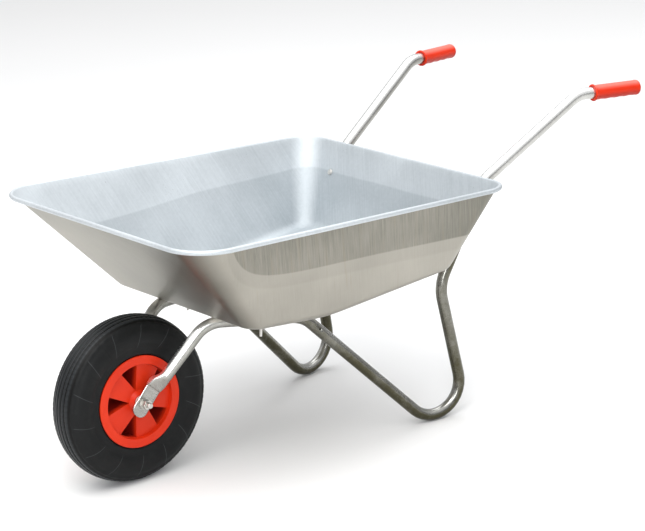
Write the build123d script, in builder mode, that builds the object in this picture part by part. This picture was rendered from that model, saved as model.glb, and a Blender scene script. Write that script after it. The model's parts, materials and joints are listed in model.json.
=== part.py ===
from build123d import *
from math import atan, cos, hypot, radians, sin
import os

# A garden wheelbarrow with one pneumatic wheel, a pressed steel tray and a tubular frame.
# Millimetres. X is across the barrow (+X is its left side), Y runs from the wheel to the
# handles, Z is up, and the origin is on the ground under the middle of the overall length.
# Places along the barrow are given as distances back from the axle.

# ---------------------------------------------------------------- driving dimensions
axle_y = -504.0
axle_z = 175.0

tyre_radius = 175.0
tyre_half_width = 42.5
tread_thickness = 6.5
tread_groove_width = 2.6
tread_groove_depth = 2.2
tread_groove_pitch = 9.0
tread_crown_drop = 110.0

flange_radius = 96.8
flange_x = 39.0
barrel_radius = 80.0
barrel_wall = 3.5
panel_x = 30.0
hub_x = 42.0
hub_radius = 17.0
hub_bore = 10.0
window_count = 5
window_first_angle = 30.0
window_half_angle = 15.5
window_apex_radius = 23.5
web_wall = 3.5
hollow_inner_radius, hollow_inner_angle = 27.0, 26.0
hollow_outer_angle = 17.2
valve_radius = 4.1

axle_radius = 6.0
axle_nut_flats = 18.0
axle_nut_height = 10.8
axle_head_height = 7.5
axle_end = 9.0
bush_bore = 6.06
bush_length = 20.0
bush_flange = 2.0
washer_radius = 12.0
washer_thickness = 2.5
spacer_radius = 10.0

tube_radius = 12.5
tube_wall = 1.5
plate_x = 50.5
plate_thickness = 3.0
plate_width = 37.0
plate_below_axle = 30.0
plate_above_axle = 36.0
vent_radius = 2.5

sheet = 1.0
bead_radius = 5.0
rim_wire_radius = 3.9
rim_front_half_width = 357.0
rim_rear_half_width = 338.5
rim_front_back = -56.0
rim_rear_back = 768.0
rim_front_z = 558.5
rim_rear_z = 509.5
rim_front_corner = 88.0
rim_rear_corner = 62.0

base_z = 300.0
base_front_half_width = 232.0
base_rear_half_width = 240.0
base_front_back = 172.5
base_rear_back = 657.5
base_front_corner = 37.0
base_rear_corner = 35.0
floor_edge_radius = 31.0
floor_bend_back = 345.0
floor_bend_radius = 400.0
rear_floor_slope = 0.084

grip_radius = 16.5
grip_length = 119.0
grip_end_wall = 3.0
grip_end_radius = 6.0
grip_lip = 2.0
grip_lip_length = 4.0

small_bolt_radius = 3.0
small_head_radius = 6.8
small_head_height = 3.4
small_nut_flats = 10.0
small_nut_height = 5.0
small_washer_radius = 7.5
small_washer_thickness = 1.4
front_bolt_length = 50.0
rear_bolt_length = 38.0

clearance = 0.3
slide_clearance = 0.05
thread_clearance = 0.02


def place(x, back, z):
    """A point given by its distance back from the axle."""
    return Vector(x, axle_y + back, z)


def sided(point, side):
    """The same point on the left (side 1) or the right (side -1)."""
    return Vector(point.X * side, point.Y, point.Z)


# One tube on each side runs from the axle plate to the grip. These are its corners on the
# left side, and the bend radius at each.
fork_low = place(68.6, 50.3, 226.4)
fork_top = place(89.0, 142.0, 319.3)
run_end = place(157.4, 338.0, 296.0)
foot = place(237.4, 725.0, -122.3)
leg_top = place(212.0, 664.5, 293.0)
handle_start = place(229.5, 783.0, 497.0)
grip_bend = place(274.7, 1028.5, 645.0)
grip_end = place(304.0, 1181.5, 636.0)
tube_bends = (70.0, 62.0, 67.0, 88.0, 85.0, 62.0)

grip_axis = (grip_end - grip_bend).normalized()
plate_axis = Vector(0, fork_low.Y - axle_y, fork_low.Z - axle_z).normalized()

# ---------------------------------------------------------------- tray
# Four sloping walls rise from a floor that is bent slightly across its middle, and the top
# edge is curled outwards round a wire. Every outline is a four-sided figure with round corners.
rim_length = hypot(rim_rear_back - rim_front_back, rim_front_z - rim_rear_z)
rim_tilt = atan((rim_front_z - rim_rear_z) / (rim_rear_back - rim_front_back))
rim_plane = Plane(
    origin=place(0, rim_front_back, rim_front_z),
    x_dir=(1, 0, 0),
    z_dir=(0, sin(rim_tilt), cos(rim_tilt)),
)
wall_top_rise = 2.6
wall_top_inset = 3.2
wall_inset = 1.2 * sheet
run_slope = (run_end.Z - fork_top.Z) / (run_end.Y - fork_top.Y)


def floor_height(back):
    """Height of the floor's underside in front of its bend, resting on the frame tubes."""
    rest = fork_top.Z + (tube_radius + clearance) / cos(atan(run_slope))
    return rest + run_slope * (axle_y + back - fork_top.Y)


def rim_outline(inset):
    """Corners of the rim outline in its own plane, drawn in by inset."""
    front, rear = rim_front_half_width - inset, rim_rear_half_width - inset
    end = rim_length - inset
    return [(-front, inset), (front, inset), (rear, end), (-rear, end)]


def base_outline(inset):
    """Corners of the walls' outline at the base height."""
    front, rear = base_front_half_width - inset, base_rear_half_width - inset
    front_y = axle_y + base_front_back + inset
    rear_y = axle_y + base_rear_back - inset
    return [(-front, front_y), (front, front_y), (rear, rear_y), (-rear, rear_y)]


def corner_radii(front, rear):
    """The radii of an outline's four corners."""
    return (front, front, rear, rear)


def tray_block(inset, rise):
    """A solid in the tray's outer shape, or in its hollow's shape when inset and raised."""
    rim_inset = wall_top_inset + inset
    rim_radii = corner_radii(rim_front_corner - rim_inset, rim_rear_corner - rim_inset)
    base_radii = corner_radii(base_front_corner, base_rear_corner)
    bend = (axle_y + floor_bend_back, floor_height(floor_bend_back) + rise)
    front = (axle_y, floor_height(0) + rise)
    rear = (axle_y + rim_rear_back, bend[1] + rear_floor_slope * (rim_rear_back - floor_bend_back))
    below = base_z / 2

    with BuildPart() as block:
        with BuildSketch(rim_plane.offset(wall_top_rise)):
            with BuildLine():
                FilletPolyline(*rim_outline(rim_inset), radius=rim_radii, close=True)
            make_face()
        with BuildSketch(Plane.XY.offset(base_z)):
            with BuildLine():
                FilletPolyline(*base_outline(inset), radius=base_radii, close=True)
            make_face()
        loft()

        # The bent underside cuts the walls off, and a large round joins them to it.
        with BuildSketch(Plane.YZ):
            with BuildLine():
                FilletPolyline(front, bend, rear, radius=floor_bend_radius)
                Polyline(rear, (rear[0], below), (front[0], below), front)
            make_face()
        extrude(amount=rim_front_half_width, both=True, mode=Mode.SUBTRACT)

        lowest_wall = floor_height(0)
        floor_faces = block.faces().filter_by(lambda face: face.bounding_box().max.Z < lowest_wall)
        outline = ShapeList(
            edge for edge in floor_faces.edges()
            if sum(edge.is_same(other) for face in floor_faces for other in face.edges()) == 1
        )
        fillet(outline, radius=floor_edge_radius - rise)
    return block.part


outer_block = tray_block(0, 0)
inner_block = tray_block(wall_inset, sheet)

with BuildLine(rim_plane) as bead_line:
    FilletPolyline(
        *rim_outline(0), radius=corner_radii(rim_front_corner, rim_rear_corner), close=True
    )
bead_path = bead_line.wire()
bead_tangent = bead_path.tangent_at(0)
bead_section = Plane(
    origin=bead_path.position_at(0),
    x_dir=bead_tangent.cross(rim_plane.z_dir),
    z_dir=bead_tangent,
)

# Bolts hold the floor down on the frame tubes, and the rear wall back against them.
front_bolt_back = 253.0
front_bolt_share = (axle_y + front_bolt_back - fork_top.Y) / (run_end.Y - fork_top.Y)
front_bolt_seat = fork_top + (run_end - fork_top) * front_bolt_share
front_bolt_axis = Vector(0, -run_slope, 1).normalized()
rear_bolt_share = 0.73
rear_bolt_seat = leg_top + (handle_start - leg_top) * rear_bolt_share
rear_wall_foot = place(0, base_rear_back, base_z)
rear_wall_top = place(0, rim_rear_back - wall_top_inset, rim_rear_z + wall_top_rise)
rear_wall_rise = rear_wall_top - rear_wall_foot
rear_bolt_axis = Vector(0, -rear_wall_rise.Z, rear_wall_rise.Y).normalized()
bolt_lines = ((front_bolt_seat, front_bolt_axis), (rear_bolt_seat, rear_bolt_axis))


def bolt_plane(seat, axis, side, along):
    """A plane across a bolt, at a distance along its axis from the frame tube's centre."""
    return Plane(origin=sided(seat, side) + axis * along, x_dir=(1, 0, 0), z_dir=axis)


with BuildPart() as tray:
    add(outer_block)
    add(inner_block, mode=Mode.SUBTRACT)

    # The curl is open on its lower outer side, where the sheet's edge stops.
    with BuildSketch(bead_section):
        Circle(bead_radius)
        Circle(bead_radius - sheet, mode=Mode.SUBTRACT)
        with BuildLine():
            Polyline((0, 0), (-9, -4), (-7, -8), (0, 0))
        make_face(mode=Mode.SUBTRACT)
    sweep(path=bead_path)

    for side in (1, -1):
        for seat, axis in bolt_lines:
            with BuildSketch(bolt_plane(seat, axis, side, 0)):
                Circle(small_bolt_radius + clearance)
            extrude(amount=2 * tube_radius, mode=Mode.SUBTRACT)

tray.part.label = "tray"

with BuildPart() as rim_wire:
    with BuildSketch(bead_section):
        Circle(rim_wire_radius)
    sweep(path=bead_path)

rim_wire.part.label = "rim_wire"

# ---------------------------------------------------------------- frame tubes
plate_middle_x = plate_x + plate_thickness / 2
plate_blend_thickness = 1.2 * plate_thickness
plate_end_radius = 0.42 * plate_width
vent_share = 0.073


def frame_tube(side):
    """One bent tube with its front end squeezed into a plate for the axle."""
    tip = grip_end - grip_axis * (grip_end_wall + clearance)
    corners = [fork_low, fork_top, run_end, foot, leg_top, handle_start, grip_bend, tip]
    corners = [sided(corner, side) for corner in corners]
    axle_point = Vector(side * plate_middle_x, axle_y, axle_z)

    with BuildPart() as tube:
        with BuildLine() as route:
            FilletPolyline(*corners, radius=tube_bends)
        section = Plane(origin=route.line @ 0, x_dir=(1, 0, 0), z_dir=route.line % 0)
        with BuildSketch(section):
            Circle(tube_radius)
            Circle(tube_radius - tube_wall, mode=Mode.SUBTRACT)
        sweep(path=route.wires()[0])

        # The round end flattens towards the plate.
        flat_start = Plane(
            origin=axle_point + plate_axis * plate_above_axle, x_dir=(1, 0, 0), z_dir=plate_axis
        )
        with BuildSketch(section):
            Circle(tube_radius)
        with BuildSketch(flat_start):
            Ellipse(plate_blend_thickness / 2, plate_width / 2)
        loft()

        # The plate has a rounded lower end and a hole for the axle bolt.
        with BuildSketch(Plane(origin=axle_point, x_dir=plate_axis, z_dir=(1, 0, 0))):
            with Locations(((plate_above_axle - plate_below_axle) / 2, 0)):
                plate = Rectangle(plate_above_axle + plate_below_axle, plate_width)
            lower_corners = plate.vertices().group_by(Axis((0, 0, 0), plate_axis))[0]
            fillet(lower_corners, radius=plate_end_radius)
            Circle(axle_radius + clearance, mode=Mode.SUBTRACT)
        extrude(amount=plate_thickness / 2, both=True)

        for seat, axis in bolt_lines:
            with BuildSketch(bolt_plane(seat, axis, side, 0)):
                Circle(small_bolt_radius + clearance)
            extrude(amount=1.5 * tube_radius, both=True, mode=Mode.SUBTRACT)

        # A vent hole in the outer side, just behind the bend under the tray.
        vent = sided(run_end + (foot - run_end) * vent_share, side)
        with BuildSketch(Plane(origin=vent, z_dir=(side, 0, 0))):
            Circle(vent_radius)
        extrude(amount=1.5 * tube_radius, mode=Mode.SUBTRACT)
    return tube.part


def grip(side):
    """A plastic sleeve with a closed round end, pushed over the end of the tube."""
    axis = sided(grip_axis, side)
    tip = sided(grip_end, side)
    with BuildPart() as sleeve:
        with BuildSketch(Plane(origin=tip, z_dir=-axis)):
            Circle(grip_radius)
        extrude(amount=grip_length)
        fillet(sleeve.edges().sort_by(Axis(tip, axis))[-1], radius=grip_end_radius)
        with BuildSketch(Plane(origin=tip - axis * grip_length, z_dir=axis)):
            Circle(grip_radius + grip_lip)
        extrude(amount=grip_lip_length)
        with BuildSketch(Plane(origin=tip - axis * grip_end_wall, z_dir=-axis)):
            Circle(tube_radius + slide_clearance)
        extrude(amount=grip_length, mode=Mode.SUBTRACT)
    return sleeve.part


frame_tube_left = frame_tube(1)
frame_tube_left.label = "frame_tube_left"
frame_tube_right = frame_tube(-1)
frame_tube_right.label = "frame_tube_right"
grip_left = grip(1)
grip_left.label = "grip_left"
grip_right = grip(-1)
grip_right.label = "grip_right"

# ---------------------------------------------------------------- wheel
# Wheel sections are drawn with X across the wheel and Y as the radius.
axle_centre = Vector(0, axle_y, axle_z)
wheel_section = Plane(origin=axle_centre, x_dir=(1, 0, 0), z_dir=(0, -1, 0))
axle_line = Axis(axle_centre, (1, 0, 0))


def wheel_face(x, angle=0):
    """A plane across the axle, turned by an angle measured from straight back towards up."""
    outwards = (0, cos(radians(angle)), sin(radians(angle)))
    return Plane(origin=(x, axle_y, axle_z), x_dir=outwards, z_dir=(1, 0, 0))


def spoke_point(radius, angle):
    """A point on a wheel face, at an angle from the middle of a window."""
    return Vector(radius, 0).rotate(Axis.Z, angle)


# The half section of the tyre goes over the tread, down the outside to the bead that sits in
# the rim, and back up the inside.
tread_edge = (24.0, 169.5)
outer_shoulder = (34.0, 160.7)
upper_side = (40.3, 147.0)
widest = (tyre_half_width, 134.0)
lower_side = (38.5, 116.0)
bead_heel_x, bead_toe_x, bead_base = 33.7, 27.0, 84.5
inner_low = (29.0, 100.0)
inner_wide = (36.5, 134.0)
inner_shoulder = (31.0, 154.0)
inner_crown = tyre_radius - tread_thickness
tread_radius = 55.0

with BuildPart() as tyre:
    with BuildSketch(wheel_section):
        with BuildLine():
            RadiusArc((0, tyre_radius), tread_edge, tread_radius)
            ThreePointArc(tread_edge, outer_shoulder, upper_side)
            ThreePointArc(upper_side, widest, lower_side)
            Polyline(
                lower_side, (bead_heel_x + 2.8, flange_radius + 2.2), (bead_heel_x, flange_radius),
                (bead_heel_x, bead_base), (bead_toe_x, bead_base), inner_low,
            )
            ThreePointArc(inner_low, inner_wide, inner_shoulder)
            ThreePointArc(inner_shoulder, (17.5, inner_crown - 3.4), (0, inner_crown))
            Line((0, inner_crown), (0, tyre_radius))
        make_face()
    revolve(axis=axle_line)
    mirror(about=Plane.YZ)

    # Five grooves run round the tread.
    for step in range(-2, 3):
        x = step * tread_groove_pitch
        groove_top = tyre_radius + tread_groove_depth
        groove_bottom = tyre_radius - x * x / tread_crown_drop - tread_groove_depth
        with BuildSketch(wheel_section):
            with Locations((x, (groove_top + groove_bottom) / 2)):
                Rectangle(tread_groove_width, groove_top - groove_bottom)
        revolve(axis=axle_line, mode=Mode.SUBTRACT)

tyre.part.label = "tyre"

tube_width, tube_height, rubber = 34.6, 41.8, 1.5
with BuildPart() as inner_tube:
    with BuildSketch(wheel_section):
        with Locations((0, 125)):
            Ellipse(tube_width, tube_height)
            Ellipse(tube_width - rubber, tube_height - rubber, mode=Mode.SUBTRACT)
    revolve(axis=axle_line)

inner_tube.part.label = "inner_tube"

valve_angle = window_first_angle + 1.5 * 360 / window_count
valve_direction = Vector(0, cos(radians(valve_angle)), sin(radians(valve_angle)))


def valve_plane(radius):
    """A plane across the valve, at a radius from the axle."""
    return Plane(origin=axle_centre + valve_direction * radius, z_dir=valve_direction)


# The half section of the rim goes from the tyre seat over the flange, down the face panel to
# the hub, and back through the axle bore.
tyre_seat_x, tyre_seat = 33.9, 84.4
panel_edge_radius = 77.5
panel_rise = 4.0
hub_root_radius = 24.0

with BuildPart() as wheel_moulding:
    with BuildSketch(wheel_section):
        with BuildLine():
            Polyline(
                (0, barrel_radius), (22, barrel_radius), (bead_toe_x, tyre_seat - 0.2),
                (tyre_seat_x, tyre_seat), (tyre_seat_x, flange_radius - 2.3),
                (tyre_seat_x + 1.1, flange_radius), (flange_x - 1, flange_radius),
                (flange_x, flange_radius - 1.8), (flange_x - 0.5, panel_edge_radius + 1.5),
                (panel_x, panel_edge_radius), (panel_x + panel_rise, hub_root_radius),
                (hub_x, hub_radius), (hub_x, hub_bore), (0, hub_bore), (0, barrel_radius),
            )
        make_face()
    revolve(axis=axle_line)
    mirror(about=Plane.YZ)

    # Wedge-shaped windows are sunk from the left face, and the panels between them are
    # hollowed out from the right face.
    pocket_radius = barrel_radius - barrel_wall
    half_step = 180 / window_count
    for index in range(window_count):
        angle = window_first_angle + index * 2 * half_step
        with BuildSketch(wheel_face(web_wall - panel_x, angle)):
            with BuildLine():
                upper = spoke_point(pocket_radius, window_half_angle)
                lower = spoke_point(pocket_radius, -window_half_angle)
                Polyline(upper, (window_apex_radius, 0), lower)
                ThreePointArc(lower, (pocket_radius, 0), upper)
            make_face()
        extrude(amount=2 * flange_x, mode=Mode.SUBTRACT)
        with BuildSketch(wheel_face(panel_x - web_wall, angle + half_step)):
            with BuildLine():
                inner_upper = spoke_point(hollow_inner_radius, hollow_inner_angle)
                inner_lower = spoke_point(hollow_inner_radius, -hollow_inner_angle)
                outer_upper = spoke_point(pocket_radius, hollow_outer_angle)
                outer_lower = spoke_point(pocket_radius, -hollow_outer_angle)
                Line(inner_upper, outer_upper)
                ThreePointArc(outer_upper, (pocket_radius, 0), outer_lower)
                Line(outer_lower, inner_lower)
                ThreePointArc(inner_lower, (hollow_inner_radius, 0), inner_upper)
            make_face()
        extrude(amount=-2 * flange_x, mode=Mode.SUBTRACT)
    with BuildSketch(valve_plane(hub_root_radius)):
        Circle(valve_radius + clearance)
    extrude(amount=flange_radius, mode=Mode.SUBTRACT)


def wheel_core(radius):
    """A round core about the axle, longer than the wheel is wide."""
    with BuildPart() as core:
        with BuildSketch(wheel_face(0)):
            Circle(radius)
        extrude(amount=2 * flange_x, both=True)
    return core.part


# The ring under the tyre holds a disc with the hub.
wheel_rim = wheel_moulding.part - wheel_core(pocket_radius)
wheel_rim.label = "wheel_rim"
wheel_disc = wheel_moulding.part & wheel_core(pocket_radius - slide_clearance)
wheel_disc.label = "wheel_disc"

# The valve stands inwards from the inner tube through the rim's barrel.
valve_tip, valve_step, valve_foot = 46.0, 54.0, 82.9
valve_tip_radius = 2.6

with BuildPart() as valve_stem:
    with BuildSketch(valve_plane(valve_tip)):
        Circle(valve_tip_radius)
    extrude(amount=valve_foot - valve_tip)
    with BuildSketch(valve_plane(valve_step)):
        Circle(valve_radius)
    extrude(amount=valve_foot - valve_step)

valve_stem.part.label = "valve_stem"

cap_tip, cap_length, cap_wall = 42.0, 11.5, 3.5
with BuildPart() as valve_cap:
    with BuildSketch(valve_plane(cap_tip)):
        Circle(valve_radius)
    extrude(amount=cap_length)
    with BuildSketch(valve_plane(cap_tip + cap_wall)):
        Circle(valve_tip_radius + thread_clearance)
    extrude(amount=cap_length, mode=Mode.SUBTRACT)
    cap_edges = valve_cap.edges().filter_by(GeomType.CIRCLE)
    fillet(cap_edges.sort_by(Axis(axle_centre, valve_direction))[0], radius=1)

valve_cap.part.label = "valve_cap"

with BuildPart() as hub_bushes:
    for side in (1, -1):
        with BuildSketch(wheel_face(side * (hub_x - bush_length))):
            Circle(hub_bore - thread_clearance)
            Circle(bush_bore, mode=Mode.SUBTRACT)
        extrude(amount=side * bush_length)
        with BuildSketch(wheel_face(side * hub_x)):
            Circle(hub_radius - bush_flange)
            Circle(bush_bore, mode=Mode.SUBTRACT)
        extrude(amount=side * bush_flange)

hub_bushes.part.label = "hub_bushes"

# ---------------------------------------------------------------- axle
plate_outer_x = plate_x + plate_thickness
washer_outer_x = plate_outer_x + washer_thickness
nut_outer_x = washer_outer_x + axle_nut_height
spacer_x = hub_x + bush_flange + clearance


def hexagon_radius(flats):
    """Corner radius of a hexagon with this width across its flats."""
    return flats / 2 / cos(radians(30))


with BuildPart() as axle_bolt:
    with BuildSketch(wheel_face(-washer_outer_x)):
        Circle(axle_radius)
    extrude(amount=washer_outer_x + nut_outer_x + axle_end)
    chamfer(axle_bolt.edges().sort_by(Axis.X)[-1], length=1)
    with BuildSketch(wheel_face(-washer_outer_x)):
        RegularPolygon(hexagon_radius(axle_nut_flats), 6)
    extrude(amount=-axle_head_height)

axle_bolt.part.label = "axle_bolt"

with BuildPart() as axle_nut:
    with BuildSketch(wheel_face(washer_outer_x)):
        RegularPolygon(hexagon_radius(axle_nut_flats), 6)
        Circle(axle_radius + thread_clearance, mode=Mode.SUBTRACT)
    extrude(amount=axle_nut_height)

axle_nut.part.label = "axle_nut"

with BuildPart() as axle_washers:
    for side in (1, -1):
        with BuildSketch(wheel_face(side * plate_outer_x)):
            Circle(washer_radius)
            Circle(axle_radius + clearance, mode=Mode.SUBTRACT)
        extrude(amount=side * washer_thickness)

axle_washers.part.label = "axle_washers"

with BuildPart() as axle_spacers:
    for side in (1, -1):
        with BuildSketch(wheel_face(side * spacer_x)):
            Circle(spacer_radius)
            Circle(axle_radius + clearance, mode=Mode.SUBTRACT)
        extrude(amount=side * (plate_x - spacer_x))

axle_spacers.part.label = "axle_spacers"

# ---------------------------------------------------------------- tray fasteners
front_seat_height = tube_radius + clearance + sheet + slide_clearance
rear_wall_gap = (rear_wall_foot - rear_bolt_seat).dot(rear_bolt_axis)
rear_seat_height = rear_wall_gap + wall_inset
tube_face = tube_radius + 2 * clearance


def bolt_group(seat, axis, seat_height, length):
    """A left and a right round-headed bolt, with their heads inside the tray."""
    with BuildPart() as bolts:
        for side in (1, -1):
            with BuildSketch(bolt_plane(seat, axis, side, seat_height)):
                Circle(small_head_radius)
            extrude(amount=small_head_height)
            with BuildSketch(bolt_plane(seat, axis, side, seat_height)):
                Circle(small_bolt_radius)
            extrude(amount=-length)
        head_top = seat_height + small_head_height
        head_edges = bolts.edges().filter_by(GeomType.CIRCLE).filter_by(
            lambda edge: abs((edge.arc_center - seat).dot(axis) - head_top) < slide_clearance
        )
        fillet(head_edges, radius=0.7 * small_head_height)
    return bolts.part


def washer_group(seat, axis):
    """A washer under each nut, against the frame tube."""
    with BuildPart() as washers:
        for side in (1, -1):
            with BuildSketch(bolt_plane(seat, axis, side, -tube_face)):
                Circle(small_washer_radius)
                Circle(small_bolt_radius + clearance, mode=Mode.SUBTRACT)
            extrude(amount=-small_washer_thickness)
    return washers.part


def nut_group(seat, axis):
    """A nut on each bolt."""
    with BuildPart() as nuts:
        for side in (1, -1):
            with BuildSketch(bolt_plane(seat, axis, side, -tube_face - small_washer_thickness)):
                RegularPolygon(hexagon_radius(small_nut_flats), 6)
                Circle(small_bolt_radius + thread_clearance, mode=Mode.SUBTRACT)
            extrude(amount=-small_nut_height)
    return nuts.part


front_tray_bolts = bolt_group(
    front_bolt_seat, front_bolt_axis, front_seat_height, front_bolt_length
)
front_tray_bolts.label = "front_tray_bolts"
front_tray_washers = washer_group(front_bolt_seat, front_bolt_axis)
front_tray_washers.label = "front_tray_washers"
front_tray_nuts = nut_group(front_bolt_seat, front_bolt_axis)
front_tray_nuts.label = "front_tray_nuts"
rear_tray_bolts = bolt_group(rear_bolt_seat, rear_bolt_axis, rear_seat_height, rear_bolt_length)
rear_tray_bolts.label = "rear_tray_bolts"
rear_tray_washers = washer_group(rear_bolt_seat, rear_bolt_axis)
rear_tray_washers.label = "rear_tray_washers"
rear_tray_nuts = nut_group(rear_bolt_seat, rear_bolt_axis)
rear_tray_nuts.label = "rear_tray_nuts"

# ---------------------------------------------------------------- files
pieces = [
    tray.part, rim_wire.part, frame_tube_left, frame_tube_right, grip_left, grip_right,
    tyre.part, inner_tube.part, valve_stem.part, valve_cap.part, wheel_rim, wheel_disc,
    hub_bushes.part,
    axle_bolt.part, axle_nut.part, axle_washers.part, axle_spacers.part,
    front_tray_bolts, front_tray_washers, front_tray_nuts,
    rear_tray_bolts, rear_tray_washers, rear_tray_nuts,
]
os.makedirs("parts", exist_ok=True)
for piece in pieces:
    export_step(piece, f"parts/{piece.label}.step")
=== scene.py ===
import json
from math import atan, cos, e, hypot, pi, radians, sin, sqrt, tan, tau

import bmesh
import bpy
from mathutils import Matrix, Vector


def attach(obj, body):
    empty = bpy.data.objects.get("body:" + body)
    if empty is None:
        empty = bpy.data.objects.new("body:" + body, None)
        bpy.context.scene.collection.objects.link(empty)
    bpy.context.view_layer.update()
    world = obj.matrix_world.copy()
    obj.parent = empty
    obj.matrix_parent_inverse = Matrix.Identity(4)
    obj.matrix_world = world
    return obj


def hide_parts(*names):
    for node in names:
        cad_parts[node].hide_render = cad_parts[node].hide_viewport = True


# A garden wheelbarrow in metres, in the frame of the CAD model: +X is its left side, +Y runs
# from the wheel to the handles, +Z is up. Places along it are distances back from the axle.
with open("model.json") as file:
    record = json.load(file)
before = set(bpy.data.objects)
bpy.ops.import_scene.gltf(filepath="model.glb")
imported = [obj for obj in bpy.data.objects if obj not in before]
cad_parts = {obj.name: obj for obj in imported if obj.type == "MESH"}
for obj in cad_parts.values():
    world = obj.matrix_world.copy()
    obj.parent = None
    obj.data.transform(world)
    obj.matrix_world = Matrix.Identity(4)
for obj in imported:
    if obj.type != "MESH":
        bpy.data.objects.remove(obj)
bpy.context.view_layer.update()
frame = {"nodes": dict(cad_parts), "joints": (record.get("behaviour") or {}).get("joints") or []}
axle = Vector(frame["joints"][0]["pos_m"])
MM = 0.001
SCENE = bpy.context.scene


def place(x, back, z):
    """A point in metres from millimetres across, back from the axle and up."""
    return Vector((x * MM, axle.y + back * MM, z * MM))


# ---------------------------------------------------------------- mesh helpers
def arc(centre, start, end, steps):
    """Points along the arc from start to end, both included."""
    a, b = start - centre, end - centre
    turn = a.angle(b)
    shares = [step / steps for step in range(steps + 1)]
    return [centre + (a * sin(turn * (1 - s)) + b * sin(turn * s)) / sin(turn) for s in shares]


def rounded_corner(before, corner, after, radius, steps):
    """The arc that rounds a corner between its two neighbours."""
    u, v = (before - corner).normalized(), (after - corner).normalized()
    half = u.angle(v) / 2
    centre = corner + (u + v).normalized() * radius / sin(half)
    reach = radius / tan(half)
    return arc(centre, corner + u * reach, corner + v * reach, steps)


def add_piece(name, points, faces, materials):
    """A smooth mesh object with these materials."""
    mesh = bpy.data.meshes.new(name)
    mesh.from_pydata([tuple(point) for point in points], [], faces)
    for material in materials:
        mesh.materials.append(material)
    mesh.polygons.foreach_set("use_smooth", [True] * len(mesh.polygons))
    piece = bpy.data.objects.new(name, mesh)
    SCENE.collection.objects.link(piece)
    return piece


def face_outwards(piece):
    """Turns the faces of a closed mesh outwards and drops doubled points."""
    shape = bmesh.new()
    shape.from_mesh(piece.data)
    bmesh.ops.remove_doubles(shape, verts=shape.verts, dist=1e-6)
    bmesh.ops.recalc_face_normals(shape, faces=shape.faces)
    shape.to_mesh(piece.data)
    shape.free()
    return piece


def grid(rows, closed_along=False, caps=False):
    """Points and faces of a grid of rows, each a closed ring of the same length."""
    count = len(rows[0])
    points = [point for row in rows for point in row]
    faces = []
    for row in range(len(rows) if closed_along else len(rows) - 1):
        upper = (row + 1) % len(rows)
        for column in range(count):
            right = (column + 1) % count
            faces.append((row * count + column, row * count + right,
                          upper * count + right, upper * count + column))
    if caps:
        faces.append(tuple(range(count)))
        faces.append(tuple(len(points) - count + column for column in range(count)))
    return points, faces


def settle(piece):
    """Applies a piece's modifiers to its mesh."""
    bpy.context.view_layer.update()
    evaluated = piece.evaluated_get(bpy.context.evaluated_depsgraph_get())
    mesh = bpy.data.meshes.new_from_object(evaluated)
    piece.modifiers.clear()
    piece.data = mesh
    return piece


def finish_piece(piece, body, slot, *nodes):
    """Rides a piece on its body and hides the CAD nodes it stands for; the slot is not used."""
    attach(piece, body)
    if nodes:
        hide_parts(*nodes)
    return piece


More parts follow.
